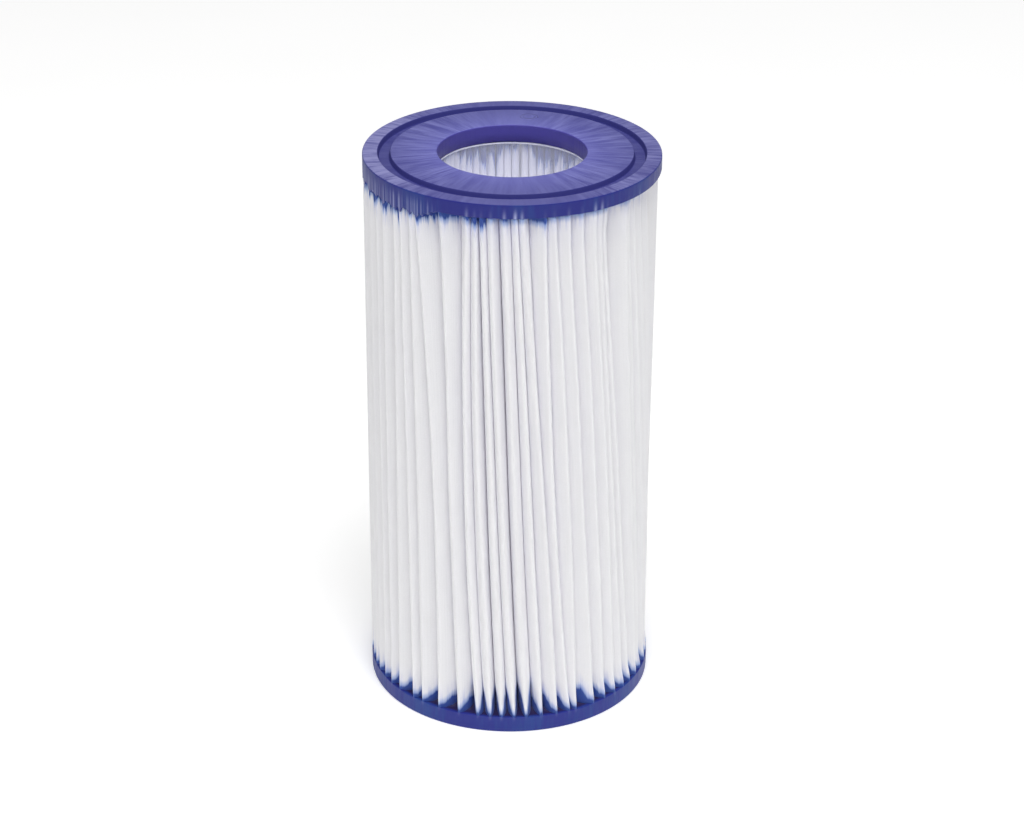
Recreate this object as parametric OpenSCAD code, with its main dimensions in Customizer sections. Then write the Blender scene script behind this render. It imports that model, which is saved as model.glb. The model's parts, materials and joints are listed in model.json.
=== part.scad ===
// Pleated filter cartridge: two moulded end caps, a pleated media cylinder with
// its side seam, and a windowed core tube inside it.
// +Z runs up the axis. The origin is the centre of the bottom face.

/* [Cartridge] */
// Height between the two end faces
cartridge_h = 205; // [150:1:300]
// Outside diameter of the end caps
cap_d = 104; // [96:1:130]
// Diameter of the hole through each end cap
hole_d = 52; // [40:1:54]

/* [End caps] */
// Height of the top cap's outer wall
top_wall_h = 5.1; // [4.5:0.1:8]
// Height of the bottom cap's outer wall
bottom_wall_h = 6.1; // [4.5:0.1:8]
// Height of the wall round each hole
collar_h = 5.7; // [4.5:0.1:8]
// Outside diameter of the groove in each end face
groove_d = 93.4; // [80:0.1:94]
// Width of the groove at its mouth
groove_w = 4.5; // [3:0.1:6]
// Depth of the groove
groove_depth = 2; // [1:0.1:2.5]
// How much narrower each side of the groove gets by its floor
groove_draft = 0.5; // [0.1:0.1:1]
// Rounding of each cap's outer edge
edge_r = 0.6; // [0.2:0.1:1]

/* [Pleated media] */
// Number of pleats
pleat_count = 60; // [40:1:64]
// Thickness of the media
media_t = 0.6; // [0.4:0.1:0.8]
// How far the pleats' tips lie inside the caps' rim
tip_inset = 0.6; // [0.4:0.1:3]
// Width of a pleat's tip, across both layers
tip_w = 2; // [1.6:0.1:2.6]
// Width of a pleat's inner fold, across both layers
fold_w = 1.6; // [1.3:0.1:1.8]
// Cap material left between the groove's floor and the media's end
end_cover = 0.4; // [0.2:0.1:1]
// Depth of the glue bead that closes the side seam
bead_depth = 8; // [3:0.5:12]

/* [Core] */
// Wall thickness of the core tube
core_wall = 1; // [0.8:0.1:1.5]
// Gap between the hole's wall and the core's inside
core_step = 0.3; // [0.2:0.1:1]
// Gap between each cap's collar and the core's end
core_gap = 1; // [0.5:0.1:3]
// Height of the closed band at each end of the core
band_h = 19; // [8:0.5:30]
// Number of rows of windows
window_rows = 9; // [4:1:16]
// Number of windows in a row
windows_round = 12; // [6:2:16]
// Width of the ribs between windows, round and up the core
rib_w = 3.6; // [2:0.1:6]
// Number of locating tabs at each end of the core
tab_count = 3; // [2:1:6]
// Width of a locating tab
tab_w = 4.5; // [3:0.5:8]
// How far a tab stands in its cap
tab_depth = 2; // [1:0.1:2.5]
// Turn of the first tab from +X
tab_turn = 15; // [0:5:90]

/* [Hidden] */
$fn = 180;

cap_r = cap_d/2;
hole_r = hole_d/2;
groove_out_r = groove_d/2;
groove_in_r = groove_out_r - groove_w;
media_z = groove_depth + end_cover;
media_h = cartridge_h - 2*media_z;
tip_r = cap_r - tip_inset;
core_in_r = hole_r + core_step;
core_out_r = core_in_r + core_wall;
fold_clearance = 0.1;
fold_r = core_out_r + fold_clearance;
pleat_turn = 360/pleat_count;
seam_turn = 90;
core_z = collar_h + core_gap;
core_h = cartridge_h - 2*core_z;
window_pitch = (core_h - 2*band_h + rib_w)/window_rows;
window_h = window_pitch - rib_w;
window_w = 2*PI*core_in_r/windows_round - rib_w;
spill = 1;

// A point at distance r along direction turn, moved side to its left
function at(r, side, turn) = [r*cos(turn) - side*sin(turn), r*sin(turn) + side*cos(turn)];

// One face of the pleated sheet, seen from above: two points on each tip and each fold
function pleat_line(tip, half_tip, fold, half_fold) = [
    for (i = [0 : pleat_count - 1])
        let (tip_at = seam_turn + i*pleat_turn, fold_at = tip_at + pleat_turn/2)
            for (p = [at(tip, -half_tip, tip_at), at(tip, half_tip, tip_at),
                      at(fold, -half_fold, fold_at), at(fold, half_fold, fold_at)]) p
];

// The pleated sheet from above
module media_section() {
    difference() {
        polygon(pleat_line(tip_r, tip_w/2, fold_r + media_t, fold_w/2 - media_t));
        polygon(pleat_line(tip_r - media_t, tip_w/2 - media_t, fold_r, fold_w/2));
    }
}

// The glue between the two flanks of the seam's pleat, from its tip inwards, and its pocket
// in a cap, which reaches some way into the media's own pocket on three sides
module bead_section(reach = 0) {
    tip = [tip_r - media_t, tip_w/2 - media_t];
    fold = at(fold_r, -fold_w/2, pleat_turn/2);
    share = bead_depth/(tip.x - fold.x);
    foot = tip + share*(fold - tip) + [0, reach];
    end = tip + [reach, reach];
    rotate(seam_turn)
        polygon([end, foot, [foot.x, -foot.y], [end.x, -end.y]]);
}

// Half of a cap's section: the end face is on the X axis and the inside is above it
module cap_profile(wall_h) {
    rim = [for (turn = [-90 : 15 : 0]) [cap_r - edge_r + edge_r*cos(turn), edge_r + edge_r*sin(turn)]];
    polygon(concat(
        [[hole_r, 0], [groove_in_r, 0],
         [groove_in_r + groove_draft, groove_depth], [groove_out_r - groove_draft, groove_depth],
         [groove_out_r, 0]],
        rim,
        [[cap_r, wall_h], [hole_r, collar_h]]));
}

// The core's lower tabs, which stand in the bottom cap and run a little way up the tube
module core_tabs() {
    low = collar_h - tab_depth;
    h = core_z + spill - low;
    intersection() {
        translate([0, 0, low]) difference() {
            cylinder(h = h, r = core_out_r);
            translate([0, 0, -spill]) cylinder(h = h + 2*spill, r = core_in_r);
        }
        for (i = [0 : tab_count - 1])
            rotate(tab_turn + i*360/tab_count)
                translate([0, -tab_w/2, low - spill]) cube([core_out_r + spill, tab_w, h + 2*spill]);
    }
}

// A cap that lies on its end face, with the media, bead and tabs cast into it
module cap(wall_h) {
    difference() {
        rotate_extrude() cap_profile(wall_h);
        translate([0, 0, media_z]) linear_extrude(wall_h + collar_h) {
            media_section();
            bead_section(reach = media_t/2);
        }
        core_tabs();
    }
}

module top_end_cap() {
    color([0.40, 0.40, 0.68])
        translate([0, 0, cartridge_h]) mirror([0, 0, 1]) cap(top_wall_h);
}

module bottom_end_cap() {
    color([0.26, 0.28, 0.56]) cap(bottom_wall_h);
}

module pleated_media() {
    color([0.93, 0.93, 0.96])
        translate([0, 0, media_z]) linear_extrude(media_h) media_section();
}

module seam_bead() {
    color([0.88, 0.85, 0.74])
        translate([0, 0, media_z]) linear_extrude(media_h) bead_section();
}

// The tube, cut through by one row of windows after another
module windowed_tube() {
    difference() {
        translate([0, 0, core_z]) cylinder(h = core_h, r = core_out_r);
        translate([0, 0, core_z - spill]) cylinder(h = core_h + 2*spill, r = core_in_r);
        for (row = [0 : window_rows - 1])
            for (i = [0 : windows_round/2 - 1])
                rotate(i*360/windows_round)
                    translate([0, 0, core_z + band_h + row*window_pitch + window_h/2])
                        cube([3*core_out_r, window_w, window_h], center = true);
    }
}

module inner_core() {
    color([0.86, 0.89, 0.93]) {
        windowed_tube();
        core_tabs();
        translate([0, 0, cartridge_h]) mirror([0, 0, 1]) core_tabs();
    }
}

top_end_cap();
bottom_end_cap();
pleated_media();
seam_bead();
inner_core();
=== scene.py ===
import json
import math

import bpy
import numpy as np
from mathutils import Matrix, Vector
from mathutils.kdtree import KDTree


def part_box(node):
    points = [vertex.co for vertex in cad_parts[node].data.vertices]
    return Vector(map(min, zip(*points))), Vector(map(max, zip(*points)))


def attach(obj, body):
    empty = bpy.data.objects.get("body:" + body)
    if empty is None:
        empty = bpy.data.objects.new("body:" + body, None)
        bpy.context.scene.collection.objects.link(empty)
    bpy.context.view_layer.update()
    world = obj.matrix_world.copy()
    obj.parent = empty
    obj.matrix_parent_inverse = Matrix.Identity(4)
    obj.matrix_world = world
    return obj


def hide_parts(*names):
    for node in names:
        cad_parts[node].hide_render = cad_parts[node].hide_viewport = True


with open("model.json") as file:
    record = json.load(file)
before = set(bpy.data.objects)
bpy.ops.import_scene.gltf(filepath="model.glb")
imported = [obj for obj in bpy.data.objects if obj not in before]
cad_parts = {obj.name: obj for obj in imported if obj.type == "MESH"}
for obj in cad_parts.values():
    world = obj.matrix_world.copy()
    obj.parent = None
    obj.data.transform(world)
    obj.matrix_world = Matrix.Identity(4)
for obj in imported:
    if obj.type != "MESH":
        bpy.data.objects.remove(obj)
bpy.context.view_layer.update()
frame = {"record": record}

# ---------------------------------------------------------------- sizes, in metres

MM = 0.001
RANDOM = np.random.default_rng(23)

top_low, top_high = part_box("top_end_cap")
bottom_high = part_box("bottom_end_cap")[1]
media_low, media_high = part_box("pleated_media")
core_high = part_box("inner_core")[1]
mounts = {m["name"]: m for m in frame["record"]["mounts"]}

HEIGHT = top_high.z
CAP_R = top_high.x
HOLE_R = mounts["top_bore"]["dims"]["r_mm"] * MM
COLLAR_H = top_high.z - top_low.z
BOTTOM_WALL = bottom_high.z
TOP_WALL = 5.1 * MM
GROOVE_OUT = 46.7 * MM
GROOVE_IN = 42.2 * MM
GROOVE_DEPTH = 2.0 * MM
GROOVE_DRAFT = 0.5 * MM

CORE_OUT = core_high.x
CORE_WALL = 1.0 * MM
CORE_GAP = 1.0 * MM
CORE_BAND = 19 * MM
CORE_RIB = 3.6 * MM
CORE_ROWS = 9
CORE_COLUMNS = 12
CORE_TABS = (15, 135, 255)

# Pleat 0 is near the front, and the seam pleat is at the back
PLEATS = 60
PITCH = 360 / PLEATS
SEAM = PLEATS // 2
FABRIC = 0.5 * MM
FOLD_R = CORE_OUT + FABRIC / 2 + 0.2 * MM
PLEAT_DEPTH = CAP_R - FOLD_R


# ---------------------------------------------------------------- small tools

def smooth(edge0, edge1, value):
    """0 below edge0, 1 above edge1, and an S curve between them."""
    t = np.clip((value - edge0) / (edge1 - edge0), 0, 1)
    return t * t * (3 - 2 * t)


def around(azimuth):
    """Unit vectors outwards for azimuths in degrees, counted from the front (-Y) towards +X."""
    a = np.radians(azimuth)
    return np.stack([np.sin(a), -np.cos(a)], -1)


def turned(vectors):
    """The same plane vectors, turned a quarter towards larger azimuths."""
    return np.stack([-vectors[..., 1], vectors[..., 0]], -1)


def azimuth_of(vectors):
    """The azimuth, in degrees from the front, of each plane vector."""
    return np.degrees(np.arctan2(vectors[..., 0], -vectors[..., 1]))


WAVE_TERMS = 4
WAVE_SCALE = 2.6


def waves(at, count, longest, shortest):
    """Smooth random lines: count of them, each sampled at the places in at, from about -1 to 1."""
    total = np.zeros((count, len(at)))
    for _ in range(WAVE_TERMS):
        length = RANDOM.uniform(shortest, longest, (count, 1))
        phase = RANDOM.uniform(0, 2 * math.pi, (count, 1))
        total += np.sin(2 * math.pi * at[None, :] / length + phase)
    return total / WAVE_SCALE


def grid_faces(rows, columns, close_rows=False, close_columns=False):
    """Quads over a grid of rows by columns points, stored row by row."""
    i = np.arange(rows if close_rows else rows - 1)
    j = np.arange(columns if close_columns else columns - 1)
    i, j = (a.ravel() for a in np.meshgrid(i, j, indexing="ij"))
    up, right = (i + 1) % rows, (j + 1) % columns
    return np.stack([i * columns + j, i * columns + right, up * columns + right, up * columns + j], -1)


def make_mesh(name, points, faces, material, flip=False):
    """A smooth-shaded mesh object from points and faces."""
    if flip:
        faces = [tuple(reversed(f)) for f in faces]
    mesh = bpy.data.meshes.new(name)
    mesh.from_pydata([tuple(p) for p in points], [], [tuple(f) for f in faces])
    mesh.polygons.foreach_set("use_smooth", [True] * len(mesh.polygons))
    mesh.materials.append(material)
    mesh.validate()
    mesh.update()
    piece = bpy.data.objects.new(name, mesh)
    bpy.context.scene.collection.objects.link(piece)
    return piece


def add_attribute(piece, name, values):
    """One number for each of the mesh's points, for its material to read."""
    layer = piece.data.attributes.new(name, "FLOAT", "POINT")
    layer.data.foreach_set("value", np.asarray(values, np.float32).ravel())


# ---------------------------------------------------------------- material graphs

class Graph:
    """Builds the nodes of one material. Values passed about are sockets or plain numbers."""

    def __init__(self, name):
        self.material = bpy.data.materials.new(name)
        self.material.use_nodes = True
        self.nodes = self.material.node_tree.nodes
        self.links = self.material.node_tree.links
        self.shader = self.nodes["Principled BSDF"]

    def put(self, value, socket):
        """Feeds a socket from another socket, or sets it to a number or colour."""
        if isinstance(value, bpy.types.NodeSocket):
            self.links.new(value, socket)
        else:
            socket.default_value = value

    def math(self, operation, a, b=0.0):
        """A Math node with one or two inputs."""
        node = self.nodes.new("ShaderNodeMath")
        node.operation = operation
        self.put(a, node.inputs[0])
        self.put(b, node.inputs[1])
        return node.outputs[0]

    def plus(self, a, b):
        """a + b."""
        return self.math("ADD", a, b)

    def minus(self, a, b):
        """a - b."""
        return self.math("SUBTRACT", a, b)

    def times(self, a, b):
        """a * b."""
        return self.math("MULTIPLY", a, b)

    def least(self, a, b):
        """The smaller of a and b."""
        return self.math("MINIMUM", a, b)

    def range(self, value, low, high, out_low=0.0, out_high=1.0):
        """Maps low..high onto out_low..out_high along an S curve, and holds the ends."""
        node = self.nodes.new("ShaderNodeMapRange")
        node.interpolation_type = "SMOOTHSTEP"
        for socket, v in zip(node.inputs, (value, low, high, out_low, out_high)):
            self.put(v, socket)
        return node.outputs[0]

    def mix(self, share, a, b):
        """Colour a where share is 0 and b where it is 1."""
        node = self.nodes.new("ShaderNodeMix")
        node.data_type = "RGBA"
        self.put(share, node.inputs["Factor"])
        self.put(a, node.inputs[6])
        self.put(b, node.inputs[7])
        return node.outputs[2]

    def place(self):
        """The point's x, y and z in the object's own space, in millimetres."""
        node = self.nodes.new("ShaderNodeTexCoord")
        scale = self.nodes.new("ShaderNodeVectorMath")
        scale.operation = "SCALE"
        self.links.new(node.outputs["Object"], scale.inputs[0])
        scale.inputs["Scale"].default_value = 1 / MM
        split = self.nodes.new("ShaderNodeSeparateXYZ")
        self.links.new(scale.outputs[0], split.inputs[0])
        return tuple(split.outputs)

    def vector(self, x, y, z):
        """A vector from its three parts."""
        node = self.nodes.new("ShaderNodeCombineXYZ")
        for socket, v in zip(node.inputs, (x, y, z)):
            self.put(v, socket)
        return node.outputs[0]

    def noise(self, vector, scale=1.0, detail=2.0, roughness=0.5, distortion=0.0):
        """Fractal noise, from about 0.3 to 0.7."""
        node = self.nodes.new("ShaderNodeTexNoise")
        self.put(vector, node.inputs["Vector"])
        self.put(scale, node.inputs["Scale"])
        self.put(detail, node.inputs["Detail"])
        self.put(roughness, node.inputs["Roughness"])
        self.put(distortion, node.inputs["Distortion"])
        return node.outputs["Fac"]

    def attribute(self, name):
        """One of the numbers stored on the mesh's points."""
        node = self.nodes.new("ShaderNodeAttribute")
        node.attribute_name = name
        return node.outputs["Fac"]

    def bump(self, height, strength, distance):
        """Tilts the shader's normal by a height map."""
        node = self.nodes.new("ShaderNodeBump")
        node.inputs["Strength"].default_value = strength
        node.inputs["Distance"].default_value = distance
        self.put(height, node.inputs["Height"])
        self.links.new(node.outputs[0], self.shader.inputs["Normal"])

    def finish(self, colour, roughness, **fixed):
        """Feeds the shader. fixed holds its constant sockets, with _ for each space."""
        self.put(colour, self.shader.inputs["Base Color"])
        self.put(roughness, self.shader.inputs["Roughness"])
        for name, value in fixed.items():
            self.shader.inputs[name.replace("_", " ")].default_value = value
        return self.material


def radial(graph):
    """(x / r, y / r, r, z) of the point, r and z in millimetres."""
    x, y, z = graph.place()
    r = graph.math("SQRT", graph.plus(graph.times(x, x), graph.times(y, y)))
    return graph.math("DIVIDE", x, r), graph.math("DIVIDE", y, r), r, z


# Centre and radius of the plain ring moulded into the top face, in millimetres
MARK_X, MARK_Y, MARK_R = 6.0, 34.5, 2.6

# Colours of the caps' vinyl where it isn't plain face or outer wall
# A lighter blue on the collar in the hole: painted light for the light that the hole keeps from it
COLLAR_PAINTED_LIGHT_BLUE = (0.064, 0.054, 0.29, 1)
# A darker blue on the groove's floor: painted shade in the recess
GROOVE_FLOOR_PAINTED_SHADE = (0.035, 0.036, 0.20, 1)
# The groove's sides, lifted from the wall's deep blue towards the face's: painted light against their shade
GROOVE_SIDE_PAINTED_LIGHT = (0.045, 0.046, 0.24, 1)
# A pale blue for the painted sheen on the rim's sides
RIM_PAINTED_SHEEN_BLUE = (0.33, 0.33, 0.60, 1)
# A near black blue for the painted shade on the vinyl between the pleats
SHADED_BLUE = (0.024, 0.017, 0.085, 1)
TIP_MARK_BLUE = (0.42, 0.46, 0.74, 1)


def within(g, value, low, high, soft):
    """1 from low to high and 0 outside, with edges that are soft wide and lie outside."""
    return g.times(g.range(value, low - soft, low), g.range(value, high, high + soft, 1.0, 0.0))


def mould_mark(g):
    """1 along the plain ring on the top face, 0 elsewhere."""
    x, y, z = g.place()
    off_x, off_y = g.minus(x, MARK_X), g.minus(y, MARK_Y)
    off = g.math("SQRT", g.plus(g.times(off_x, off_x), g.times(off_y, off_y)))
    ring = within(g, off, MARK_R - 0.3, MARK_R + 0.3, 0.4)
    return g.times(ring, g.range(z, HEIGHT / MM - 1, HEIGHT / MM))


def vinyl(name, deep, face_dark, face_light):
    """Soft cast vinyl: radial flow marks on the end faces, faint upright ones on the walls, satin sheen."""
    g = Graph(name)
    east, north, r, z = radial(g)

    def marks(per_radian, along, detail, roughness=0.5):
        """Noise drawn out along the radius."""
        place = g.vector(g.times(east, per_radian), g.times(north, per_radian), g.times(r, along))
        return g.noise(place, detail=detail, roughness=roughness)

    fine = marks(42.0, 0.07, 4.0, 0.7)
    broad = marks(9.0, 0.05, 2.0)
    patches = marks(2.5, 0.06, 2.0)
    geometry = g.nodes.new("ShaderNodeNewGeometry")
    facing = g.nodes.new("ShaderNodeSeparateXYZ")
    g.links.new(geometry.outputs["True Normal"], facing.inputs[0])
    from_end = g.least(z, g.minus(HEIGHT / MM, z))
    on_face = g.times(g.range(g.math("ABSOLUTE", facing.outputs[2]), 0.6, 0.95),
                      g.range(from_end, 1.2 * GROOVE_DEPTH / MM, 1.6 * GROOVE_DEPTH / MM, 1.0, 0.0))
    in_groove = within(g, r, GROOVE_IN / MM, GROOVE_OUT / MM, 0.3)

    # The marks are plainer towards the left and right than at the front and back: in the colour, a painted
    # sheen that shows them there
    to_side = g.range(g.math("ABSOLUTE", east), 0.1, 0.8, 0.3, 1.0)
    streaks = g.range(g.plus(g.times(fine, 0.65), g.times(broad, 0.35)), 0.36, 0.66)
    streaks = g.plus(g.times(g.minus(streaks, 0.45), to_side), 0.45)
    face = g.mix(streaks, face_dark, face_light)
    # The groove's floor is darkened: painted shade in the recess
    sunk = g.times(in_groove, g.range(from_end, 0.2, 1.6))
    face = g.mix(g.times(sunk, 0.6), face, GROOVE_FLOOR_PAINTED_SHADE)

    upright = g.noise(g.vector(g.times(east, 30.0), g.times(north, 30.0), g.times(z, 0.08)), detail=3.0)
    bluer = (deep[0], deep[1] * 1.9, deep[2] * 1.1, 1.0)
    wall = g.mix(g.range(g.plus(g.times(upright, 0.4), g.times(patches, 0.6)), 0.42, 0.66), deep, bluer)
    # The collar in the hole is painted a lighter blue than the walls: painted light
    in_hole = g.range(r, HOLE_R / MM + 0.1, HOLE_R / MM + 0.4, 1.0, 0.0)
    wall = g.mix(in_hole, wall, COLLAR_PAINTED_LIGHT_BLUE)
    # The groove's sides are lightened: painted light against their shade
    wall = g.mix(in_groove, wall, GROOVE_SIDE_PAINTED_LIGHT)
    # The end faces are painted lighter than the walls: partly their own hazy face, partly painted sheen and
    # light from above
    colour = g.mix(on_face, wall, face)

    # The rim gets a pale painted sheen along its fine marks on the left, and less on the right
    painted_sheen_sides = g.math("MAXIMUM", g.range(east, -0.5, -0.95), g.range(east, 0.5, 0.9, 0.0, 0.4))
    on_rim = g.times(on_face, g.range(r, GROOVE_OUT / MM, GROOVE_OUT / MM + 0.3))
    painted_rim_sheen = g.times(g.times(painted_sheen_sides, on_rim), g.range(fine, 0.38, 0.62, 0.15, 1.0))
    colour = g.mix(g.times(painted_rim_sheen, 0.8), colour, RIM_PAINTED_SHEEN_BLUE)
    # Painted shade on the caps' inner faces between the pleats (only the bottom cap has it)
    colour = g.mix(g.attribute("painted_shade_between_pleats"), colour, SHADED_BLUE)
    colour = g.mix(g.attribute("through"), colour, TIP_MARK_BLUE)

    grain = g.noise(g.vector(*g.place()), scale=1.1, detail=3.0)
    plainness = g.times(g.range(patches, 0.4, 0.62, 0.35, 1.0), to_side)
    ridges = g.times(g.times(fine, plainness), g.range(on_face, 0.0, 1.0, 0.25, 1.0))
    height = g.plus(g.plus(ridges, g.times(grain, 0.15)), g.times(mould_mark(g), 1.6))
    g.bump(height, 1.0, 0.22 * MM)
    return g.finish(colour, g.range(fine, 0.3, 0.7, 0.40, 0.55), Specular_IOR_Level=0.3)


# Colours of the cloth: plain, pressed and cloudy, a lavender painted shade by the caps, then where blue has
# crept in
CLOTH_DARK, CLOTH_LIGHT = (0.892, 0.886, 0.908, 1), (0.932, 0.926, 0.948, 1)
CLOTH_PRESSED = (0.958, 0.952, 0.972, 1)
CLOTH_CLOUDY = (0.88, 0.88, 0.91, 1)
CAP_PAINTED_SHADE_BLUE = (0.70, 0.70, 0.88, 1)
HALO_BLUE = (0.55, 0.58, 0.82, 1)
FRINGE_BLUE = (0.17, 0.30, 0.62, 1)
STAIN_BLUE = (0.048, 0.095, 0.36, 1)


def polyester():
    """White spun-bonded polyester: matted fibres, press marks, painted shade by the caps, blue where vinyl
    has wicked in.
    """
    g = Graph("spun_polyester")
    z = g.place()[2]
    run = g.attribute("run")

    def cloth_noise(across, along, detail, roughness=0.5, distortion=0.0):
        """Noise on the flat sheet, for each millimetre across and up it."""
        return g.noise(g.vector(g.times(run, across), g.times(z, along), 0.0),
                       detail=detail, roughness=roughness, distortion=distortion)

    fibres = cloth_noise(2.6, 2.0, 5.0, 0.7, 0.8)
    press = cloth_noise(1.7, 0.012, 3.0, 0.6)
    cloud = cloth_noise(0.11, 0.05, 2.0)
    white = g.mix(g.range(fibres, 0.3, 0.7), CLOTH_DARK, CLOTH_LIGHT)
    white = g.mix(g.times(g.range(press, 0.42, 0.62), 0.35), white, CLOTH_PRESSED)
    white = g.mix(g.times(g.range(cloud, 0.35, 0.7), 0.35), white, CLOTH_CLOUDY)

    # How far the point is past the end of the vinyl's creep from either cap, in millimetres
    below_top = g.minus((HEIGHT - TOP_WALL) / MM, z)
    above_low = g.minus(z, BOTTOM_WALL / MM)
    ragged = cloth_noise(0.55, 0.03, 4.0, 0.65)
    reach_top = g.times(g.attribute("soak_top"), g.range(ragged, 0.32, 0.68, 0.5, 1.35))
    reach_low = g.times(g.attribute("soak_low"), g.range(ragged, 0.32, 0.68, 0.85, 1.15))
    past = g.least(g.minus(below_top, reach_top), g.minus(above_low, reach_low))
    stain = g.range(past, -0.9, 0.35, 1.0, 0.0)
    fringe = g.range(past, -0.3, 2.6, 1.0, 0.0)
    halo = g.range(past, 0.0, 7.0, 0.7, 0.0)
    # A lavender painted shade on the cloth near each cap, standing for the cap's shade and blue cast on it
    painted_cap_shade = g.range(g.least(below_top, g.times(above_low, 1.6)), 0.0, 20.0, 0.32, 0.0)
    colour = g.mix(painted_cap_shade, white, CAP_PAINTED_SHADE_BLUE)
    colour = g.mix(g.times(halo, g.range(ragged, 0.4, 0.65)), colour, HALO_BLUE)
    colour = g.mix(g.times(fringe, 0.75), colour, FRINGE_BLUE)
    colour = g.mix(stain, colour, STAIN_BLUE)

    # The bonding points stand in a diamond pattern
    rising, falling = g.times(g.plus(run, z), 4.2), g.times(g.minus(run, z), 4.2)
    bonds = g.times(g.math("SINE", rising), g.math("SINE", falling))
    height = g.plus(fibres, g.times(press, 1.6))
    g.bump(g.plus(height, g.times(bonds, 0.12)), 0.45, 0.09 * MM)
    return g.finish(colour, g.range(fibres, 0.3, 0.7, 0.78, 0.95), Sheen_Weight=0.1, Sheen_Roughness=0.5,
                    Specular_IOR_Level=0.2, Subsurface_Weight=1.0, Subsurface_Radius=(1, 1, 1),
                    Subsurface_Scale=0.8 * MM)


def milky_plastic():
    """Natural polypropylene: milky, see-through but for its two end edges, with flow lines up the tube."""
    g = Graph("milky_polypropylene")
    east, north, _, z = radial(g)
    flow = g.noise(g.vector(g.times(east, 14.0), g.times(north, 14.0), g.times(z, 0.02)), detail=3.0)
    cloud = g.noise(g.vector(*g.place()), scale=0.25, detail=2.0)
    colour = g.mix(g.range(flow, 0.3, 0.7), (0.80, 0.82, 0.96, 1), (0.88, 0.89, 0.99, 1))
    g.bump(cloud, 0.3, 0.1 * MM)
    end = (COLLAR_H + CORE_GAP) / MM
    from_end = g.least(g.minus(HEIGHT / MM - end, z), g.minus(z, end))
    g.put(g.range(from_end, 0.3, 0.6, 0.9, 0.22), g.shader.inputs["Alpha"])
    return g.finish(colour, g.range(cloud, 0.3, 0.7, 0.28, 0.42), Specular_IOR_Level=0.5)


def hot_melt():
    """Cream hot-melt glue, waxy and slightly lumpy."""
    g = Graph("hot_melt_glue")
    lumps = g.noise(g.vector(*g.place()), scale=0.6, detail=3.0)
    colour = g.mix(g.range(lumps, 0.3, 0.7), (0.72, 0.66, 0.48, 1), (0.86, 0.82, 0.68, 1))
    g.bump(lumps, 0.5, 0.2 * MM)
    return g.finish(colour, g.range(lumps, 0.3, 0.7, 0.35, 0.5), Subsurface_Weight=0.3,
                    Subsurface_Scale=2 * MM)


# ---------------------------------------------------------------- pleats

# Where the front pleats' tips stand, in degrees from the front: at the top cap, half way down and at the
# bottom cap. The first is pleat FIRST_SET; pleat 0 is the one nearest the front.
FIRST_SET = -12
SET_TIPS = [
    (-78, -76, -73), (-70, -69, -68), (-62.5, -62.5, -62), (-57, -57, -56.5), (-49.5, -50, -50.5),
    (-46, -44, -42), (-41, -38.5, -37), (-38, -31, -29), (-26.5, -23.5, -20), (-16, -17, -12),
    (-13, -12, -7), (-10.5, -7, -2.5), (-7, -3.5, 2.6), (-2, 2, 7.5), (2, 7.5, 13.6), (4.5, 12.5, 20),
    (13, 17, 25.5), (16.5, 23.5, 28.5), (22, 29.5, 37), (27.5, 36, 43), (33, 41.5, 49), (36, 45, 55),
    (38.5, 48.5, 60), (49.5, 57, 66), (52.5, 61, 71), (56.5, 67, 78), (62, 73, 84), (69, 80, 90),
]
# How far vinyl has wicked down those pleats' tips below the top cap's wall, in millimetres
SET_SOAK = [
    5.5, 5.5, 4.5, 5.5, 6, 2.6, 3.6, 4.2, 2.2, 1.6, 2.4, 2.9, 0.4, 1.2, 0.4, 0.4, 2.0,
    0.4, 0.4, 0.4, 0.4, 0.4, 0.4, 0.4, 0.4, 0.4, 0.5, 0.8,
]
# Pleats whose tips show through the top cap's wall as pale lines, and how plainly
PROUD = {-3: 0.35, 1: 0.45, 2: 0.95, 3: 0.5, 8: 0.6, 9: 0.55}
# How many of the pleats from FIRST_SET on show there more plainly than the rest
SHOWING = 8
# Valleys that gape more than the rest, by the pleat before them, and how many times deeper they are
DEEP_VALLEYS = {-3: 1.3, -2: 2.2, -1: 1.2, 0: 2.3, 1: 1.4}

# How far the front pleats' tips are turned back from an even spacing at the top cap, in degrees
FRONT_LEAN = 9.0
# How far the other tips stray at the top cap, half way down and at the bottom cap, in degrees
STRAY = [3.2, 1.8, 1.2]
# How much of a tip's shift from its even place the folds beside it follow
FOLD_FOLLOWS = 0.15
# The least turns between neighbouring tips and between neighbouring folds, in degrees
LEAST_TIP_STEP = 2.0
LEAST_FOLD_STEP = 5.5
SPREAD_ROUNDS = 60
# Half the width of a pleat's round tip, to the middle of the sheet: where the bottom cap grips it, and at
# the least
GRIPPED_HALF = 0.32 * MM
LEAST_HALF = 0.3 * MM
# The most of the space to the nearer of its neighbours that half a tip takes up
MOST_ROOM = 0.44
# Radius of the crests at the bottom, how much less it is at the top, and how much it varies
CREST_R, CREST_TAPER, CREST_SPREAD = 51.55 * MM, 0.2 * MM, 0.12 * MM
CREST_LIMIT = CAP_R - FABRIC / 2 - 0.05 * MM
# How much of the depth that a leaning pleat loses is missing at its crest
LEAN_LOSS = 0.5
# How far left of the axis the ring of crests stands at the bottom, and how much further at the top
OFF_AXIS, OFF_AXIS_MORE = 0.35 * MM, 0.3 * MM

ROWS_AT_END = [0, 0.7, 1.4, 2.2, 3.0, 4.0, 5.2, 6.6, 8.4, 10.6, 13.5, 17, 21.5]
MIDDLE_ROWS = 12


def row_heights():
    """Heights of the media's rows: close together near the caps, wider apart half way."""
    ends = np.array(ROWS_AT_END) * MM
    low = media_low.z + ends
    high = media_high.z - ends[::-1]
    middle = np.linspace(low[-1], high[0], MIDDLE_ROWS)[1:-1]
    return np.concatenate([low, middle, high])


def spread(values, least):
    """Moves neighbouring rows' angles apart, a little at a time, where they differ by less than least."""
    for _ in range(SPREAD_ROUNDS):
        gap = np.diff(values, axis=0, append=values[:1] + 360)
        push = np.maximum(least - gap, 0) / 2
        values = values - push + np.roll(push, 1, axis=0)
    return values


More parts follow.
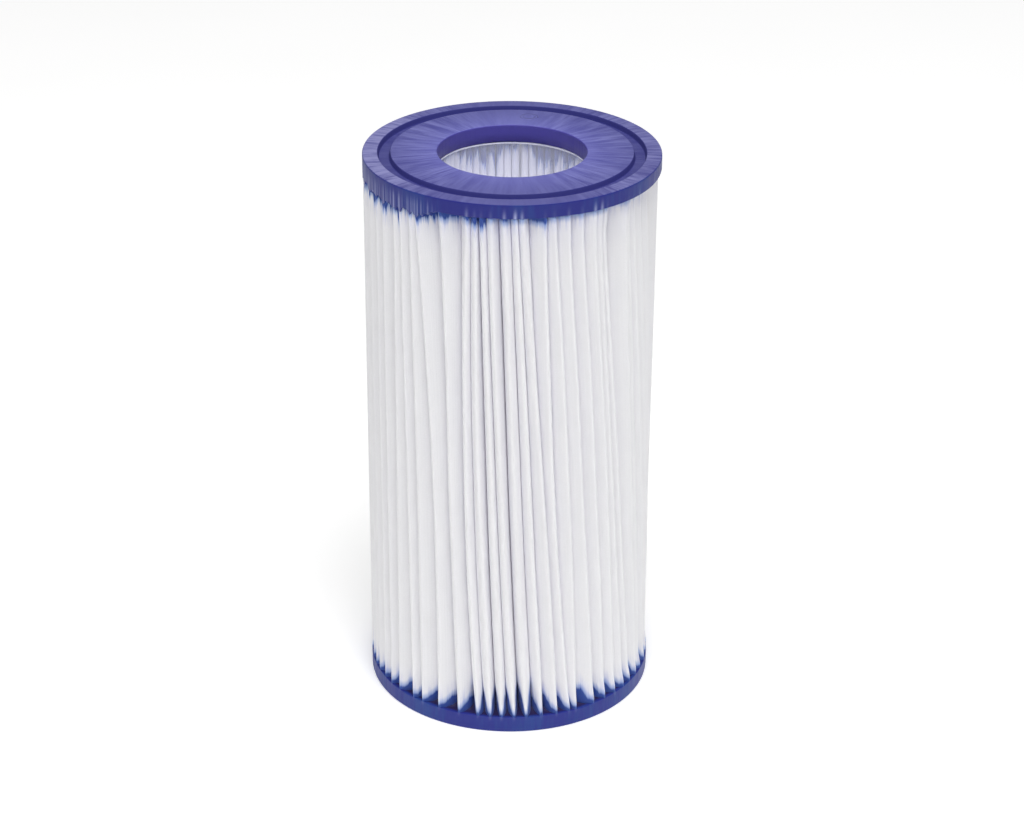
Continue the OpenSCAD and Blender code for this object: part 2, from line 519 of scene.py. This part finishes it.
def tip_places(z):
    """Azimuth of each pleat's tip at each height, and of its even place, both pleats by rows."""
    k = np.arange(PLEATS)
    signed = np.where(k > SEAM, k - PLEATS, k)
    home = PITCH * signed.astype(float)
    lean = FRONT_LEAN * (0.5 + 0.5 * np.cos(np.radians(home)))
    stray = RANDOM.normal(0, 1, (3, PLEATS)) * np.array(STRAY)[:, None]
    stations = np.stack([home - lean, home - lean / 2, home]) + stray
    for i, tips in enumerate(SET_TIPS):
        stations[:, (FIRST_SET + i) % PLEATS] = tips
    stations[:, SEAM] = 180
    t = np.clip((z - BOTTOM_WALL) / (HEIGHT - TOP_WALL - BOTTOM_WALL), 0, 1)
    top, middle, bottom = (s[:, None] for s in stations)
    place = bottom * (1 - t) * (1 - 2 * t) + middle * 4 * t * (1 - t) + top * t * (2 * t - 1)
    place = place + 0.2 * waves(z, PLEATS, 200 * MM, 80 * MM) * (t * (1 - t) * 4)
    order = np.argsort(home)
    place[order] = spread(place[order], LEAST_TIP_STEP)
    homes = home[:, None] - lean[:, None] * t
    return place, homes


def next_pleat(azimuths):
    """Each pleat's neighbour's azimuths, a full turn on where they pass the back."""
    past_back = np.where(np.arange(PLEATS) == SEAM, 360, 0)[:, None]
    return np.roll(azimuths, -1, axis=0) + past_back


def fold_places(z, tip, home):
    """Azimuth of the inner fold after each pleat: near half way, drawn a little after the tips."""
    after, home_after = next_pleat(tip), next_pleat(home)
    fold = (home + home_after) / 2 + FOLD_FOLLOWS * ((tip - home) + (after - home_after)) / 2
    fold = fold + RANDOM.normal(0, 0.35, (PLEATS, 1)) + 0.25 * waves(z, PLEATS, 120 * MM, 50 * MM)
    order = np.argsort(tip[:, 0])
    fold[order] = spread(fold[order], LEAST_FOLD_STEP)
    return fold


def tip_halves(z, tip):
    """Half the width of each pleat's round tip: fuller a little above the bottom cap, gripped at it."""
    gap_after = (next_pleat(tip) - tip) * CAP_R * math.pi / 180
    room = np.minimum(gap_after, np.roll(gap_after, 1, axis=0))
    above_low = (z - BOTTOM_WALL) / MM
    puff = smooth(0, 22, above_low) * (1 - smooth(45, 110, above_low))
    pinch = 1 - smooth(1, 14, above_low)
    half = RANDOM.uniform(0.45, 0.7, (PLEATS, 1)) + 0.04 * waves(z, PLEATS, 140 * MM, 60 * MM)
    half = half + RANDOM.uniform(0.1, 0.5, (PLEATS, 1)) * puff
    half = half * (1 - pinch) + GRIPPED_HALF / MM * pinch
    return np.clip(half * MM, LEAST_HALF, np.maximum(MOST_ROOM * room - FABRIC / 2, LEAST_HALF))


def crest_places(z, tip, home):
    """(x, y) of each pleat's outermost point. A leaning pleat stands back a little."""
    t = np.clip(z / HEIGHT, 0, 1)
    shift = np.stack([-OFF_AXIS - OFF_AXIS_MORE * t, 0 * t], -1)
    off_home = np.radians(tip - home) * (1 - FOLD_FOLLOWS) * CAP_R
    radius = CREST_R - CREST_TAPER * t + RANDOM.normal(0, CREST_SPREAD, (PLEATS, 1))
    lost = PLEAT_DEPTH - np.sqrt(PLEAT_DEPTH ** 2 - off_home ** 2)
    radius = radius - LEAN_LOSS * lost - FABRIC / 2
    crest = around(tip) * radius[..., None] + shift
    crest = crest * np.minimum(1, CREST_LIMIT / np.linalg.norm(crest, axis=-1))[..., None]
    return flush_at_caps(z, tip, crest)


def flush_at_caps(z, tip, crest):
    """Draws the tips out to the caps' rims near the caps, least on the right of the top cap."""
    below_top = (HEIGHT - TOP_WALL - z) / MM
    above_low = (z - BOTTOM_WALL) / MM
    at_left = smooth(-95, -70, tip) * (1 - smooth(-36, -22, tip))
    at_right = smooth(25, 70, tip) * (1 - smooth(110, 160, tip))
    flush = at_left * (1 - smooth(4, 14, below_top))
    flush = np.maximum(flush, 0.85 * (1 - smooth(1, 12, below_top)) * (1 - at_right))
    flush = np.maximum(flush, 0.95 * (1 - smooth(1, 9, above_low)))
    length = np.linalg.norm(crest, axis=-1)
    return crest * (1 + flush * (CREST_LIMIT / length - 1))[..., None]


def trough_places(z, fold):
    """(x, y) of each inner fold, resting on the core tube or just off it."""
    loose = RANDOM.uniform(0, 0.5, (PLEATS, 1)) * MM
    fold_r = FOLD_R + loose + 0.1 * MM * waves(z, PLEATS, 90 * MM, 40 * MM)
    return around(fold) * np.maximum(fold_r, FOLD_R)[..., None]


# Places round a pleat's tip, as shares of the turn on either side
TIP_TURNS = [-1.0, -0.5, 0.0, 0.5, 1.0]
# On the side towards the front the tip goes over into its flank early, so the flank is a broad, flat face
EARLY_TURN = math.radians(35)
# Points down a flank: shares of the valley's opening, then shares of the rest of the way to the fold
OPENING_PLACES = [0.22, 0.55, 0.95]
CLOSED_PLACES = [0.12, 0.35, 0.72]
FLANK_POINTS = len(OPENING_PLACES) + len(CLOSED_PLACES)
# The round of an inner fold: its half width, and the share of it that is left where flanks lie together
FOLD_HALF = 1.05 * MM
TOUCHING = 0.27
# A pleat's points start with the second half of the fold before it
FOLD_POINTS = 3
TIP_START = FOLD_POINTS + FLANK_POINTS


def flank(start, end, mouth, trough, opening, bulge):
    """Points down one side of a pleat, from its tip in to the valley's middle and along that to the fold."""
    along = trough - mouth
    first = mouth + (end - trough) * TOUCHING
    places = [opening * share for share in OPENING_PLACES]
    places += [opening + (1 - opening) * share for share in CLOSED_PLACES]
    points = []
    for s in places:
        apart = (TOUCHING + (1 - TOUCHING) * smooth(0.75, 1.0, s))[..., None]
        spread_out = np.maximum(1 - s / opening, 0) ** 1.7 + bulge * s * (1 - s)
        points.append(mouth + along * s[..., None] + (end - trough) * apart
                      + (start - first) * spread_out[..., None])
    return points


def fold_point(middle, azimuth, turn):
    """A point on the round of an inner fold, turned from the fold's innermost point."""
    out = around(azimuth)
    return middle + out * FOLD_HALF * (1 - math.cos(turn)) + turned(out) * FOLD_HALF * math.sin(turn)


def tip_points(crest, way, half):
    """The points round each pleat's tip, from the side before it to the side after it."""
    numbers = np.arange(PLEATS)
    left_turn = np.where((numbers > 0) & (numbers < SEAM), EARLY_TURN, math.pi / 2)[:, None, None]
    right_turn = np.where(numbers > SEAM, EARLY_TURN, math.pi / 2)[:, None, None]
    centre = crest - way * half[..., None]
    points = []
    for share in TIP_TURNS:
        turn = share * (left_turn if share < 0 else right_turn)
        points.append(centre + half[..., None] * (np.cos(turn) * way + np.sin(turn) * turned(way)))
    return points


def valley_shape(z, right_tip, next_tip):
    """The point between two tips where each valley closes, and the share of its depth that stays open."""
    beside = RANDOM.uniform(0.72, 0.9, (PLEATS, 1))
    beside[:SEAM] = 1 - beside[:SEAM]
    for k in DEEP_VALLEYS:
        beside[k] = 0.5
    mouth = right_tip + (next_tip - right_tip) * beside[..., None]
    width = np.linalg.norm(next_tip - right_tip, axis=-1)
    depth = (1.0 * MM + 0.65 * width) * RANDOM.uniform(0.75, 1.3, (PLEATS, 1))
    depth = depth * (0.6 + 0.4 * smooth(2 * MM, 30 * MM, HEIGHT - TOP_WALL - z))
    for k, deeper in DEEP_VALLEYS.items():
        depth[k] *= deeper
    return mouth, np.clip(depth / PLEAT_DEPTH, 0.05, 0.75)


def media_section(z):
    """The media's middle line at each height: rows by points by (x, y), from the fold before pleat 0."""
    tip, home = tip_places(z)
    fold = fold_places(z, tip, home)
    half = tip_halves(z, tip)
    crest = crest_places(z, tip, home)
    trough = trough_places(z, fold)
    before = np.roll(trough, 1, axis=0)
    fold_before = np.roll(fold, 1, axis=0)
    way = crest - (before + trough) / 2
    way = way / np.linalg.norm(way, axis=-1, keepdims=True)
    tips = tip_points(crest, way, half)
    mouth, opening = valley_shape(z, tips[-1], np.roll(tips[0], -1, axis=0))
    mouth_before, opening_before = np.roll(mouth, 1, axis=0), np.roll(opening, 1, axis=0)
    bulge = 0.08 * waves(z, 2 * PLEATS, 110 * MM, 45 * MM).reshape(2, PLEATS, len(z))

    quarter, eighth = math.pi / 2, math.pi / 4
    left_foot = fold_point(before, fold_before, quarter)
    right_foot = fold_point(trough, fold, -quarter)
    points = [fold_point(before, fold_before, 0), fold_point(before, fold_before, eighth), left_foot]
    points += flank(tips[0], left_foot, mouth_before, before, opening_before, bulge[0])[::-1]
    points += tips
    points += flank(tips[-1], right_foot, mouth, trough, opening, bulge[1])
    points += [right_foot, fold_point(trough, fold, -eighth)]
    section = np.stack(points, 1)
    return section.transpose(2, 0, 1, 3).reshape(len(z), PLEATS * len(points), 2)


def soak_levels(section):
    """How far vinyl has wicked along each point of the sheet from each cap's wall, in millimetres."""
    per_pleat = section.shape[1] // PLEATS
    depth = (CAP_R - np.linalg.norm(section, axis=-1)) / MM

    def on_points(values):
        """One value for each pleat, given to all of the pleat's points."""
        return np.repeat(values, per_pleat)[None, :]

    tips = RANDOM.gamma(1.6, 0.7, PLEATS)
    tips[(FIRST_SET + np.arange(len(SET_SOAK))) % PLEATS] = SET_SOAK
    # At the inner folds groups of neighbours have drawn vinyl, with bare ones between them
    drawn = 0.5 + 0.5 * waves(np.arange(PLEATS), 1, 11, 4)[0] + RANDOM.uniform(-0.25, 0.25, PLEATS)
    inner = 2.2 + smooth(0.15, 0.45, drawn) * RANDOM.uniform(4.5, 8, PLEATS)
    top = on_points(tips) * (1 - smooth(3, 14, depth)) + on_points(inner) * smooth(14, 21, depth)
    rise = RANDOM.uniform(3.0, 6.0, PLEATS)
    rise[list(DEEP_VALLEYS)] += 3.5
    low = 1.6 + on_points(rise) * smooth(0.6, 3.6, depth)
    return top, low


def tip_indices(place):
    """Index of one of TIP_TURNS' points, counted from 0, on every pleat of a section."""
    per_pleat = PLEAT_SECTION.shape[1] // PLEATS
    return np.arange(PLEATS) * per_pleat + TIP_START + place


def seam_order():
    """Indices of one section's points for a sheet that is cut at the seam pleat's tip."""
    count = PLEAT_SECTION.shape[1]
    last_of_tip = tip_indices(len(TIP_TURNS) - 1)[SEAM]
    return (last_of_tip + np.arange(count - len(TIP_TURNS) + 2)) % count


def stacked(line):
    """Points (x, y, z) of a line that is given as (x, y) at each of the media's rows."""
    heights = np.broadcast_to(ROW_Z[:, None, None], line.shape[:2] + (1,))
    return np.concatenate([line, heights], -1).reshape(-1, 3)


def build_media(material):
    """The pleated sheet, with its two edges meeting at the seam pleat."""
    top, low = soak_levels(PLEAT_SECTION)
    order = seam_order()
    line = PLEAT_SECTION[:, order]
    steps = np.linalg.norm(np.diff(line, axis=1), axis=-1)
    run = np.concatenate([[0], np.cumsum(steps.mean(0) / MM)])
    piece = make_mesh("pleated_media_cloth", stacked(line), grid_faces(*line.shape[:2]), material)
    add_attribute(piece, "soak_top", top[:, order])
    add_attribute(piece, "soak_low", low[:, order])
    add_attribute(piece, "run", np.broadcast_to(run, line.shape[:2]))
    thick = piece.modifiers.new("thickness", "SOLIDIFY")
    thick.thickness = FABRIC
    thick.offset = 0
    thick.use_even_offset = True
    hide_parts("pleated_media")
    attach(piece, "root")


# ---------------------------------------------------------------- end caps

def rounded(corners, steps=4):
    """A profile with each corner (r, z, rounding) turned into a curve. The ends stay sharp."""
    points = []
    for i, (x, y, rounding) in enumerate(corners):
        corner = np.array([x, y])
        if i in (0, len(corners) - 1) or rounding == 0:
            points.append(corner)
            continue
        back = np.array(corners[i - 1][:2]) - corner
        ahead = np.array(corners[i + 1][:2]) - corner
        a = corner + back / np.linalg.norm(back) * rounding
        b = corner + ahead / np.linalg.norm(ahead) * rounding
        for s in np.linspace(0, 1, steps + 1):
            points.append((1 - s) ** 2 * a + 2 * s * (1 - s) * corner + s * s * b)
    return np.array(points)


def divided(points, longest):
    """The same line with its long stretches cut into equal parts."""
    out = [points[0]]
    for a, b in zip(points[:-1], points[1:]):
        parts = max(1, math.ceil(np.linalg.norm(b - a) / longest))
        out += [a + (b - a) * i / parts for i in range(1, parts + 1)]
    return np.array(out)


CAP_SAMPLES = 14 * PLEATS
# How far the collar's soft edge hangs into the gap above the core tube
LIP = 0.8 * CORE_GAP
# The band inside the rim where the inner face has its rings of points close together, and how many rings
# there are in it and further in
RIM_BAND = 9 * MM
RIM_RINGS, INNER_RINGS = 17, 15
# How high the vinyl climbs where it touches the cloth, and the distance over which that fades
CLIMB, CLIMB_FADE = 1.5 * MM, 0.6 * MM
# Half the width of the pale line that a pleat's tip makes on a cap's wall, in degrees
TIP_MARK_HALF = 0.55


def left_side(azimuths):
    """1 on the side where vinyl has run down over the tips, 0 elsewhere."""
    turn = (azimuths + 180) % 360 - 180
    return smooth(-110, -80, turn) * (1 - smooth(-34, -27, turn))


def nowhere(azimuths):
    """0 all round."""
    return np.zeros(len(azimuths))


# For each cap: its CAD node, wall height, the media's row in it, whether it lies face up, where vinyl has
# run, how far along the wall the pleats' tips show, and how much painted shade lies on the vinyl between the
# pleats
TOP_CAP = {"node": "top_end_cap", "wall": TOP_WALL, "row": -1, "face_up": True,
           "runs": left_side, "marks": 5.2 * MM, "painted_shade_amount": 0.0}
BOTTOM_CAP = {"node": "bottom_end_cap", "wall": BOTTOM_WALL, "row": 0, "face_up": False,
              "runs": nowhere, "marks": 2.5 * MM, "painted_shade_amount": 1.0}


def nearest_cloth(z):
    """A search tree of the media's middle line at the row nearest to height z."""
    row = PLEAT_SECTION[np.argmin(np.abs(ROW_Z - z))]
    dense = divided(np.vstack([row, row[:1]]), 0.2 * MM)
    tree = KDTree(len(dense))
    for i, p in enumerate(dense):
        tree.insert((p[0], p[1], 0), i)
    tree.balance()
    return tree


def meniscus(tree, x, y, runs):
    """How far the vinyl climbs the cloth at a point of a cap's inner face. runs lets it climb at the rim."""
    distance = tree.find((x, y, 0))[2] / MM
    depth = (CAP_R - math.hypot(x, y)) / MM
    inwards = float(smooth(0.7, 7.0, depth) * smooth(0.5, 6.0, (CAP_R - HOLE_R) / MM - depth))
    inwards = max(inwards, runs * (1 - float(smooth(4, 12, depth))))
    film = max(distance - FABRIC / MM / 2, 0)
    climb = CLIMB * inwards * math.exp(-film * MM / CLIMB_FADE)
    return climb + (0.5 + runs) * inwards * MM


def shown_tips(azimuths, tips, strengths):
    """How plainly the pleats' tips show through the wall at each azimuth."""
    off = (azimuths[:, None] - tips[None, :] + 180) % 360 - 180
    return np.exp(-(off / TIP_MARK_HALF) ** 2) @ strengths


def cap_outline(wall):
    """A cap's profile (r, h) from the hole over the end face and up the wall, h counted from the face."""
    soft, floor_in, floor_out = 0.3 * MM, GROOVE_IN + GROOVE_DRAFT, GROOVE_OUT - GROOVE_DRAFT
    outline = rounded([
        (HOLE_R, COLLAR_H / 2, 0), (HOLE_R, 0, 0.5 * MM), (GROOVE_IN, 0, soft),
        (floor_in, GROOVE_DEPTH, soft), (floor_out, GROOVE_DEPTH, soft), (GROOVE_OUT, 0, soft),
        (CAP_R, 0, 0.6 * MM), (CAP_R, wall, soft), (CAP_R - 0.6 * MM, wall, 0),
    ])
    return divided(outline, 1.0 * MM)


def build_cap(name, cap, strengths, material):
    """A cast end cap, swept round one profile at a time. strengths says how plainly each tip shows."""
    wall = cap["wall"]

    def z_of(h):
        """The height of a place that is h from the cap's end face."""
        return HEIGHT - h if cap["face_up"] else h

    outline = cap_outline(wall)
    inner_r = np.concatenate([np.linspace(CAP_R - 1 * MM, CAP_R - RIM_BAND, RIM_RINGS),
                              np.linspace(CAP_R - RIM_BAND - 1 * MM, HOLE_R + 0.9 * MM, INNER_RINGS)])
    azimuths = np.arange(CAP_SAMPLES) * 360 / CAP_SAMPLES
    ways = around(azimuths)
    tree = nearest_cloth(z_of(wall + 1 * MM))
    sway = 0.12 * MM * waves(azimuths, 1, 90, 7)[0]
    sway = sway * smooth(0, 20, azimuths) * smooth(0, 20, 360 - azimuths)
    runs = cap["runs"](azimuths)
    skirt = 0.3 + 0.55 * waves(azimuths, 1, 40, 9)[0] + 0.8 * waves(azimuths, 1, 3.5, 1.3)[0]
    skirt = np.maximum(skirt, 0) * runs * MM
    tips = azimuth_of(PLEAT_SECTION[cap["row"], tip_indices(len(TIP_TURNS) // 2)])
    seen = shown_tips(azimuths, tips, strengths)
    seen = seen + 0.45 * runs * np.maximum(waves(azimuths, 1, 3.0, 0.9)[0], 0)
    up_wall = smooth(wall - cap["marks"], wall, outline[:, 1]) * (outline[:, 0] > CAP_R - 0.7 * MM)
    at_edge = smooth(wall - 1.5 * MM, wall, outline[:, 1])
    inwards = (CAP_R - inner_r) / MM
    base = wall + (COLLAR_H - wall) * (CAP_R - inner_r) / (CAP_R - HOLE_R)
    points, through = [], []
    for i, way in enumerate(ways):
        climb = meniscus(tree, *((CAP_R - 0.3 * MM) * way), runs[i]) * (0.4 + 0.6 * runs[i])
        lift = at_edge * (sway[i] + climb + skirt[i])
        column = [(*(r * way), h) for r, h in zip(outline[:, 0], outline[:, 1] + lift)]
        hang = sway[i] + skirt[i] * (1 - smooth(1.5, 7, inwards))
        for r, h in zip(inner_r, base + hang):
            column.append((*(r * way), h + meniscus(tree, *(r * way), runs[i])))
        column.append((*((HOLE_R + 0.25 * MM) * way), COLLAR_H + LIP))
        column.append((*(HOLE_R * way), COLLAR_H + LIP - 0.3 * MM))
        points.append(column)
        through.append(np.minimum(seen[i], 1) * up_wall ** 2)
    points = np.array(points)
    points[..., 2] = z_of(points[..., 2])
    inner = slice(len(outline), len(outline) + len(inner_r))
    attributes = np.zeros((2, *points.shape[:2]))
    attributes[0, :, :len(outline)] = through
    # Painted shade on the inner face between the pleats, from just inside the rim inwards
    attributes[1, :, inner] = cap["painted_shade_amount"] * smooth(0.6, 1.6, inwards)
    faces = grid_faces(*points.shape[:2], True, True)
    piece = make_mesh(name, points.reshape(-1, 3), faces, material, flip=cap["face_up"])
    add_attribute(piece, "through", attributes[0])
    add_attribute(piece, "painted_shade_between_pleats", attributes[1])
    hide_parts(cap["node"])
    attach(piece, "root")


# ---------------------------------------------------------------- core tube

# Steps along a cell's lower edge and up its side, the width of a tab in those steps, the levels of a closed
# band, and how finely places round the tube are told apart
CELL_STEPS = 10
SIDE_STEPS = 12
TAB_STEPS = 3
BAND_LEVELS = 4
KEY_STEPS = 64 * CELL_STEPS
TAB_GRIP = 2 * MM
WINDOW_CORNER = 1.2 * MM


def cell_ring(width, height, corner):
    """Points round a rectangle with rounded corners, one for each point of a plain cell's edge."""
    across = np.linspace(-1, 1, CELL_STEPS + 1)[:-1]
    upward = np.linspace(-1, 1, SIDE_STEPS + 1)[:-1]
    edge = [(s, -1) for s in across] + [(1, s) for s in upward]
    edge += [(-s, 1) for s in across] + [(-1, -s) for s in upward]
    ring = []
    for a, b in edge:
        x, y = a * width / 2, b * height / 2
        cx = min(max(x, corner - width / 2), width / 2 - corner)
        cy = min(max(y, corner - height / 2), height / 2 - corner)
        if corner > 0 and x != cx and y != cy:
            d = math.hypot(x - cx, y - cy)
            x, y = cx + (x - cx) / d * corner, cy + (y - cy) / d * corner
        ring.append((x, y))
    return ring


def build_core(material):
    """A tube of windowed cells between two closed bands, bent round from a flat pattern."""
    low, high = COLLAR_H + CORE_GAP, HEIGHT - COLLAR_H - CORE_GAP
    radius = CORE_OUT - CORE_WALL / 2
    cell_w = radius * 2 * math.pi / CORE_COLUMNS
    cell_h = (high - low - 2 * CORE_BAND + CORE_RIB) / CORE_ROWS
    points, faces, index = [], [], {}

    def point(s, z):
        """The index of the point s round the tube and z up it, made once for all the faces that share it."""
        key = (round(s / cell_w * KEY_STEPS) % (KEY_STEPS * CORE_COLUMNS), round(z * 1e6))
        if key not in index:
            index[key] = len(points)
            points.append((radius * math.cos(s / radius), radius * math.sin(s / radius), z))
        return index[key]

    first = low + CORE_BAND - CORE_RIB / 2
    last = first + CORE_ROWS * cell_h
    plain = cell_ring(cell_w, cell_h, 0)
    window = cell_ring(cell_w - CORE_RIB, cell_h - CORE_RIB, WINDOW_CORNER)
    for column in range(CORE_COLUMNS):
        for row in range(CORE_ROWS):
            s0, z0 = column * cell_w, first + (row + 0.5) * cell_h
            outer = [point(s0 + x, z0 + y) for x, y in plain]
            inner = [point(s0 + x, z0 + y) for x, y in window]
            for i in range(len(outer)):
                j = (i + 1) % len(outer)
                faces.append((outer[i], outer[j], inner[j], inner[i]))

    step = cell_w / CELL_STEPS
    step_turn = 360 / (CORE_COLUMNS * CELL_STEPS)
    tab = TAB_GRIP + CORE_GAP
    for column in range(CORE_COLUMNS * CELL_STEPS):
        s0 = column * step - cell_w / 2
        turn = math.degrees((s0 + step / 2) / radius) % 360
        lower = list(np.linspace(low, first, BAND_LEVELS))
        upper = list(np.linspace(last, high, BAND_LEVELS))
        if any(abs(turn - t) < TAB_STEPS / 2 * step_turn + 0.01 for t in CORE_TABS):
            lower = [low - tab] + lower
            upper = upper + [high + tab]
        for levels in (lower, upper):
            for a, b in zip(levels[:-1], levels[1:]):
                faces.append((point(s0, a), point(s0 + step, a), point(s0 + step, b), point(s0, b)))

    piece = make_mesh("core_tube", points, faces, material)
    wall = piece.modifiers.new("wall", "SOLIDIFY")
    wall.thickness = CORE_WALL
    wall.offset = 0
    edges = piece.modifiers.new("edges", "BEVEL")
    edges.width = 0.2 * MM
    edges.segments = 2
    edges.limit_method = "ANGLE"
    edges.angle_limit = math.radians(50)
    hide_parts("inner_core")
    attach(piece, "root")


# ---------------------------------------------------------------- seam bead

# Down the bead's section: places outwards from the pleat's tip, in millimetres, and shares of its thickness
BEAD_PLACES = [0.25, 0.1, -0.2, -2.5, -5.5, -8]
BEAD_SHARES = [0.35, 0.8, 1.0, 1.0, 0.9, 0.5]


def build_bead(material):
    """Glue between the seam pleat's two raw edges, rounded where it comes out at the tip."""
    left = PLEAT_SECTION[:, tip_indices(0)[SEAM]]
    right = PLEAT_SECTION[:, tip_indices(len(TIP_TURNS) - 1)[SEAM]]
    middle = (left + right) / 2
    out = middle / np.linalg.norm(middle, axis=-1, keepdims=True)
    across = right - left
    gap = np.linalg.norm(across, axis=-1, keepdims=True)
    half = across / gap * np.maximum(gap / 2 - FABRIC / 2 - 0.02 * MM, 0.06 * MM)
    places = [middle + out * d * MM for d in BEAD_PLACES]
    ring = [place + half * share for place, share in zip(places, BEAD_SHARES)]
    ring += [place - half * share for place, share in zip(places[::-1], BEAD_SHARES[::-1])]
    line = np.stack(ring, 1)
    rows, columns = line.shape[:2]
    faces = [tuple(f) for f in grid_faces(rows, columns, False, True)]
    faces.append(tuple(reversed(range(columns))))
    faces.append(tuple((rows - 1) * columns + j for j in range(columns)))
    piece = make_mesh("seam_glue_bead", stacked(line), faces, material)
    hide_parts("seam_bead")
    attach(piece, "root")


# ---------------------------------------------------------------- studio

def build_camera():
    """The viewing angle: 26 degrees down on the axis, from 0.93 m, with the smallest of rolls."""
    target = Vector((0.5, 0, 105)) * MM
    elevation, distance, roll = math.radians(26), 930 * MM, math.radians(0.36)
    ahead = Vector((0, math.cos(elevation), -math.sin(elevation)))
    right = Vector((1, 0, 0))
    up = right.cross(ahead)
    level = math.cos(roll) * right + math.sin(roll) * up
    upright = math.cos(roll) * up - math.sin(roll) * right
    data = bpy.data.cameras.new("camera")
    data.sensor_width = 36
    data.lens = 89.93
    camera = bpy.data.objects.new("camera", data)
    camera.matrix_world = Matrix((level, upright, -ahead)).transposed().to_4x4()
    camera.matrix_world.translation = target - ahead * distance
    bpy.context.scene.collection.objects.link(camera)
    bpy.context.scene.camera = camera


def build_floor():
    """A plain white floor that glows a little, which keeps its far side white."""
    g = Graph("floor_paper")
    tone = g.noise(g.vector(*g.place()), scale=0.01, detail=1.0)
    material = g.finish(g.mix(tone, (0.94, 0.94, 0.905, 1), (0.96, 0.96, 0.925, 1)), 0.9,
                        Specular_IOR_Level=0.1, Emission_Color=(1, 1, 1, 1), Emission_Strength=0.3)
    half = 3.0
    corners = [(-half, -half, 0), (half, -half, 0), (half, half, 0), (-half, half, 0)]
    make_mesh("floor", corners, [(0, 1, 2, 3)], material)


LIGHT_TINT = (0.965, 0.965, 1.0)
# The spots that light the hole: how far away, how far up, how far to either side, and the lit share of it
BORE_LIGHT_AWAY = 1.2
BORE_LIGHT_UP = math.radians(52)
BORE_LIGHT_SIDES = (-45, 45)
BORE_LIGHT_SHARE = 0.92


def aim(data, place, target):
    """Puts a lamp at place, pointing at target."""
    light = bpy.data.objects.new(data.name, data)
    light.location = place
    light.rotation_euler = (Vector(target) - Vector(place)).to_track_quat("-Z", "Y").to_euler()
    bpy.context.scene.collection.objects.link(light)


def build_light():
    """Soft light from all round, a large soft lamp above and in front, and two spots into the hole."""
    world = bpy.data.worlds.new("studio")
    bpy.context.scene.world = world
    world.use_nodes = True
    background = world.node_tree.nodes["Background"]
    background.inputs["Color"].default_value = (*LIGHT_TINT, 1)
    background.inputs["Strength"].default_value = 0.33
    key = bpy.data.lights.new("key_light", "AREA")
    key.shape = "DISK"
    key.size = 1.56
    key.energy = 49
    key.color = LIGHT_TINT
    aim(key, (0.15, -0.9, 2.5), (0, 0, HEIGHT / 2))
    rim = Vector((0, 0, HEIGHT))
    for turn in BORE_LIGHT_SIDES:
        spot = bpy.data.lights.new("bore_light", "SPOT")
        spot.energy = 50
        spot.spot_size = 2 * math.atan(BORE_LIGHT_SHARE * HOLE_R / BORE_LIGHT_AWAY)
        spot.spot_blend = 0.5
        spot.shadow_soft_size = 0.02
        way = Vector((*around(turn), 0)) * math.cos(BORE_LIGHT_UP)
        way.z = math.sin(BORE_LIGHT_UP)
        aim(spot, rim + way * BORE_LIGHT_AWAY, rim)


def set_rendering():
    """Enough bounces for light to find its way through layers of white cloth, and plain colours."""
    cycles = bpy.context.scene.cycles
    cycles.max_bounces = 24
    cycles.diffuse_bounces = 16
    cycles.transparent_max_bounces = 16
    bpy.context.scene.view_settings.view_transform = "Standard"


# ---------------------------------------------------------------- the cartridge

build_camera()
build_floor()
build_light()
set_rendering()

# The end faces' two colours are lighter than the walls': partly the hazy vinyl, partly painted sheen and
# light from above
FACE_LIGHT = (0.175, 0.18, 0.45, 1)
vinyl_top = vinyl("cast_vinyl_top", (0.017, 0.021, 0.215, 1), (0.058, 0.058, 0.265, 1), FACE_LIGHT)
vinyl_bottom = vinyl("cast_vinyl_bottom", (0.020, 0.029, 0.245, 1), (0.056, 0.058, 0.265, 1), FACE_LIGHT)

ROW_Z = row_heights()
PLEAT_SECTION = media_section(ROW_Z)
build_media(polyester())

top_strengths = RANDOM.uniform(0.0, 0.16, PLEATS)
top_strengths[FIRST_SET:FIRST_SET + SHOWING] = RANDOM.uniform(0.1, 0.35, SHOWING)
for pleat, strength in PROUD.items():
    top_strengths[pleat] = strength
bottom_strengths = RANDOM.uniform(0.02, 0.16, PLEATS)
build_cap("top_cap_casting", TOP_CAP, top_strengths, vinyl_top)
build_cap("bottom_cap_casting", BOTTOM_CAP, bottom_strengths, vinyl_bottom)

build_core(milky_plastic())
build_bead(hot_melt())
